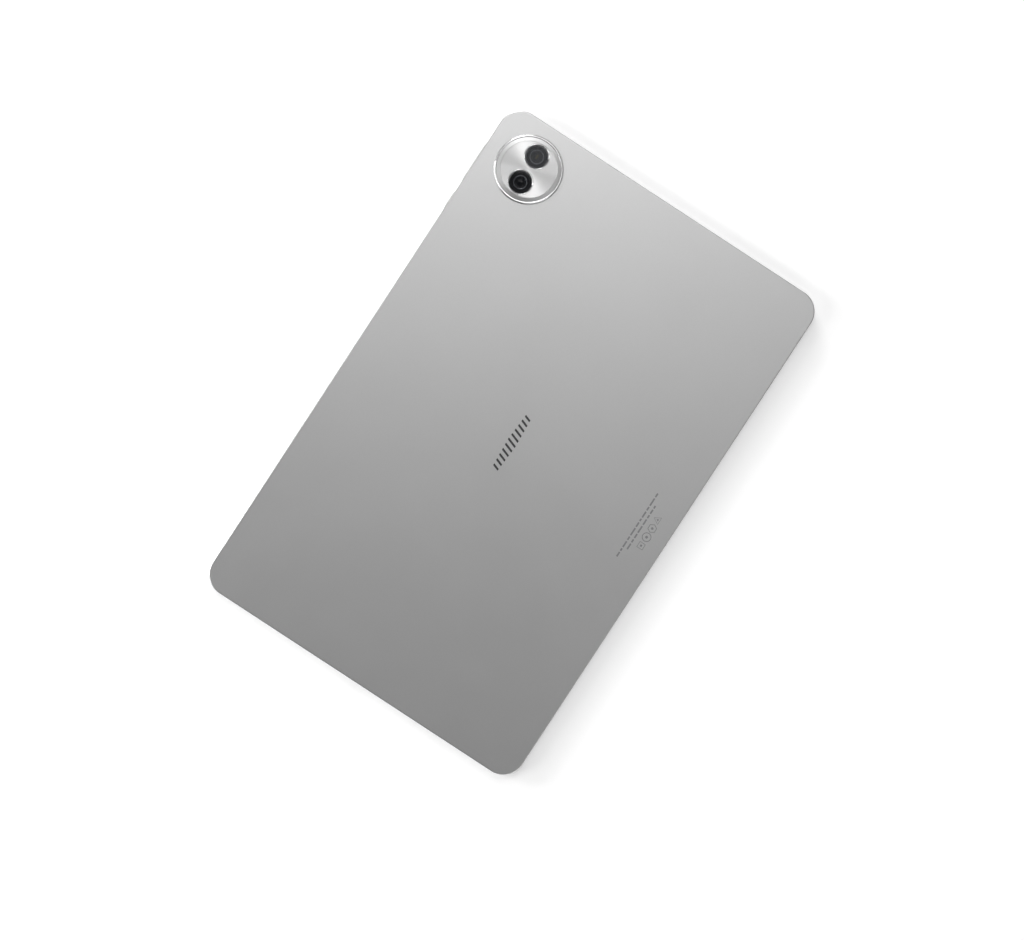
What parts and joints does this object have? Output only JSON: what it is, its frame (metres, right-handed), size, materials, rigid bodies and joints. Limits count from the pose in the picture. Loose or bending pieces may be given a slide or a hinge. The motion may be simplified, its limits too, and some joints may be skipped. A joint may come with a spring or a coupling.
{
  "type": "tablet computer",
  "caption": "Slim flat tablet computer with a metal back, a round camera deck, side keys, edge speaker grilles, a charging socket and a glass front.",
  "frame": {"origin": "middle of the cover glass's flat outer face, which the tablet lies on with its back up", "axes": "+Z out of the back, +X along the long side towards the rear camera's end, +Y towards the long side with the keys"},
  "size_m": [0.277, 0.1797, 0.0075],
  "materials": {
    "anodised_housing": "fine bead-blasted and anodised in a neutral silver grey",
    "anodised_keys": "anodised in a neutral silver grey, polished edges",
    "polished_metal": "polished",
    "spun_metal": "fine circular brushing round the centre",
    "black_glass": "glossy, blacked out behind",
    "window_glass": "glossy, dark",
    "clear_plastic": "clear moulded acrylic",
    "black_plastic": "matt moulded",
    "black_rubber": "soft adhesive foam",
    "white_plastic": "matt white",
    "sheet_steel": "bright rolled sheet",
    "circuit_board": "dark green solder mask",
    "flex_film": "amber polyimide film",
    "battery_foil": "dark grey laminated pouch",
    "graphite": "dull dark grey sheet",
    "diaphragm": "thin stiff film on a copper coil",
    "mesh_cloth": "fine black acoustic mesh"
  },
  "bodies": {
    "chassis": {"backlight_led_bar": "white_plastic", "backlight_tray": "sheet_steel", "battery_cell_left": "battery_foil", "battery_cell_right": "battery_foil", "battery_protection_board": "circuit_board", "camera_deck_plate": "spun_metal", "camera_deck_ring": "polished_metal", "camera_trim_ring": "polished_metal", "camera_window": "window_glass", "cover_glass": "black_glass", "display_adhesive": "black_rubber", "display_flex": "flex_film", "display_frame": "black_plastic", "flash_led_board": "white_plastic", "flash_trim_ring": "polished_metal", "flash_window": "window_glass", "front_camera": "black_plastic", "heat_spreader": "graphite", "lcd_panel": "black_glass", "light_guide": "clear_plastic", "light_sensor": "black_plastic", "link_flex": "flex_film", "main_board": "circuit_board", "main_board_screw_1": "sheet_steel", "main_board_screw_2": "sheet_steel", "main_board_screw_3": "sheet_steel", "microphone_side": "sheet_steel", "microphone_top": "sheet_steel", "optical_films": "white_plastic", "power_dome": "sheet_steel", "power_shield": "sheet_steel", "processor_shield": "sheet_steel", "radio_shield": "sheet_steel", "rear_camera_body": "black_plastic", "rear_camera_flex": "flex_film", "rear_housing": "anodised_housing", "side_key_bracket": "sheet_steel", "side_key_flex": "flex_film", "speaker_box_left_bottom": "black_plastic", "speaker_box_left_top": "black_plastic", "speaker_box_right_bottom": "black_plastic", "speaker_box_right_top": "black_plastic", "speaker_mesh_left_bottom": "mesh_cloth", "speaker_mesh_left_top": "mesh_cloth", "speaker_mesh_right_bottom": "mesh_cloth", "speaker_mesh_right_top": "mesh_cloth", "sub_board": "circuit_board", "sub_board_screw_1": "sheet_steel", "sub_board_screw_2": "sheet_steel", "usb_c_shell": "sheet_steel", "usb_c_tongue": "black_plastic", "volume_down_dome": "sheet_steel", "volume_up_dome": "sheet_steel"},
    "power_button": {"power_button": "anodised_keys"},
    "volume_rocker": {"volume_rocker": "anodised_keys"},
    "focus_barrel": {"focus_barrel": "black_plastic"},
    "diaphragm_left_top": {"speaker_diaphragm_left_top": "diaphragm"},
    "diaphragm_left_bottom": {"speaker_diaphragm_left_bottom": "diaphragm"},
    "diaphragm_right_top": {"speaker_diaphragm_right_top": "diaphragm"},
    "diaphragm_right_bottom": {"speaker_diaphragm_right_bottom": "diaphragm"}
  },
  "joints": [
    {"name": "power_press", "type": "slide", "parent": "chassis", "child": "power_button", "axis": [0, -1, 0], "range_m": [0, 0.00025], "stiffness_N_per_m": 6000, "springref_m": -0.00005},
    {"name": "volume_rock", "type": "hinge", "parent": "chassis", "child": "volume_rocker", "pos_m": [0.104, 0.0873, 0.0033], "axis": [0, 0, 1], "range_deg": [-1.2, 1.2], "stiffness_Nm_per_rad": 0.9},
    {"name": "focus_drive", "type": "slide", "parent": "chassis", "child": "focus_barrel", "axis": [0, 0, 1], "range_m": [0, 0.00025], "stiffness_N_per_m": 150},
    {"name": "diaphragm_left_top_stroke", "type": "slide", "parent": "chassis", "child": "diaphragm_left_top", "axis": [0, 0, 1], "range_m": [-0.0003, 0.0003], "stiffness_N_per_m": 900},
    {"name": "diaphragm_left_bottom_stroke", "type": "slide", "parent": "chassis", "child": "diaphragm_left_bottom", "axis": [0, 0, 1], "range_m": [-0.0003, 0.0003], "stiffness_N_per_m": 900},
    {"name": "diaphragm_right_top_stroke", "type": "slide", "parent": "chassis", "child": "diaphragm_right_top", "axis": [0, 0, 1], "range_m": [-0.0003, 0.0003], "stiffness_N_per_m": 900},
    {"name": "diaphragm_right_bottom_stroke", "type": "slide", "parent": "chassis", "child": "diaphragm_right_bottom", "axis": [0, 0, 1], "range_m": [-0.0003, 0.0003], "stiffness_N_per_m": 900}
  ]
}
